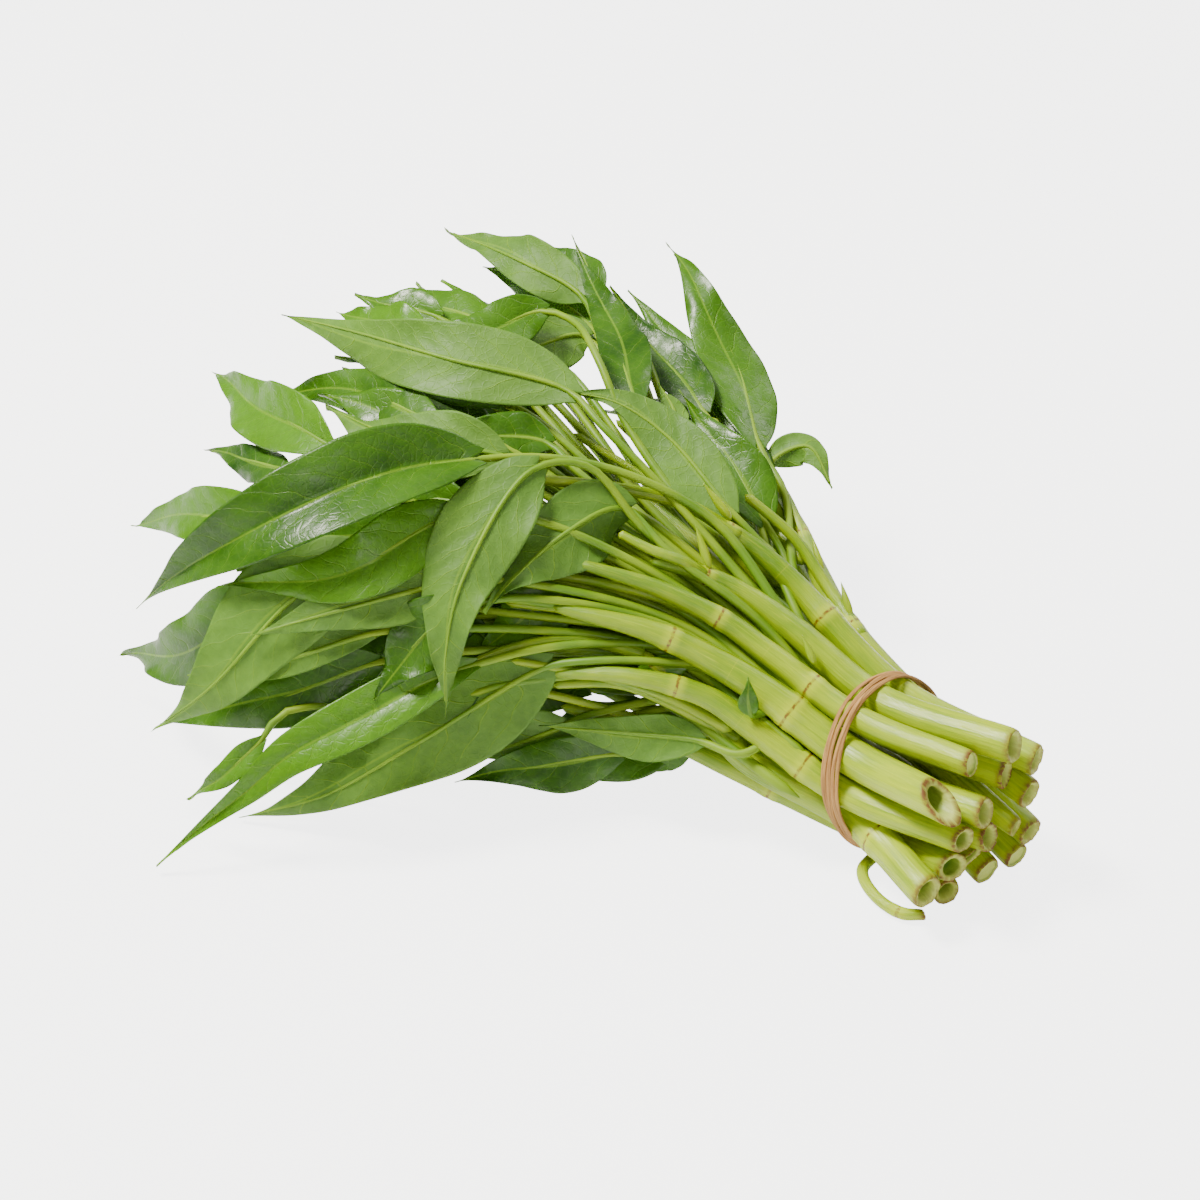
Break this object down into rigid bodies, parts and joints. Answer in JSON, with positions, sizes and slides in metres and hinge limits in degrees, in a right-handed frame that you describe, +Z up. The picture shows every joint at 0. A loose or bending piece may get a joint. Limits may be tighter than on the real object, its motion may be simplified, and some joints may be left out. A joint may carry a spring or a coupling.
{
  "type": "water spinach bunch",
  "caption": "Tied bunch of water spinach lying on its side: hollow cut stems gathered by a thin loop, fanning out into long pointed leaves",
  "frame": {"origin": "the point of the resting surface under the flat bottom of the tie", "axes": "+Z up from the surface, +X toward the cut stem ends, -X toward the leaf tips, +Y toward the side opposite the long drooping leaves"},
  "size_m": [0.2877, 0.2458, 0.1163],
  "materials": {
    "stem": "moist pale green stem with fine lengthwise striations",
    "leaf": "thin green leaf, glossy above and matte below, with raised veins",
    "tie": "twisted dry plant fibre"
  },
  "bodies": {
    "root": {"stem_top": "stem", "stem_arc": "stem", "stem_back": "stem", "stem_rear": "stem", "stem_rear_low": "stem", "stem_under": "stem", "stem_floor": "stem", "stem_hook": "stem", "stem_low": "stem", "stem_fork": "stem", "stem_front": "stem", "stem_slant": "stem", "stem_joint": "stem", "stem_core_top": "stem", "stem_core_back": "stem", "stem_core_low": "stem", "stem_core_front": "stem", "stem_core_side": "stem", "tie": "tie", "leaf_drape": "leaf", "leaf_sweep": "leaf", "leaf_crest": "leaf", "leaf_cup": "leaf", "leaf_front": "leaf", "leaf_spread": "leaf", "leaf_belly": "leaf", "leaf_quilt": "leaf", "leaf_tuck": "leaf", "leaf_shade": "leaf", "leaf_ribbon": "leaf", "leaf_front_dark": "leaf", "leaf_dark_low": "leaf", "leaf_left_far": "leaf", "leaf_left_tongue": "leaf", "leaf_left_high": "leaf", "leaf_left_mid": "leaf", "leaf_left_upper": "leaf", "leaf_ridge": "leaf", "leaf_ridge_back": "leaf", "leaf_hook": "leaf", "leaf_grey_top": "leaf", "leaf_saddle": "leaf", "leaf_lone": "leaf", "leaf_blade": "leaf", "leaf_back_fold": "leaf", "leaf_back_dark": "leaf", "leaf_fan_pale": "leaf", "leaf_fan_dark": "leaf", "leaf_skirt": "leaf", "leaf_skirt_near": "leaf", "leaf_skirt_far": "leaf", "leaf_rear_mid": "leaf", "leaf_rear_high": "leaf", "leaf_rear_drop": "leaf", "leaf_rear_low": "leaf", "leaf_end_high": "leaf", "leaf_end_mid": "leaf", "leaf_end_low": "leaf", "leaf_floor": "leaf", "leaf_floor_front": "leaf"}
  },
  "joints": []
}
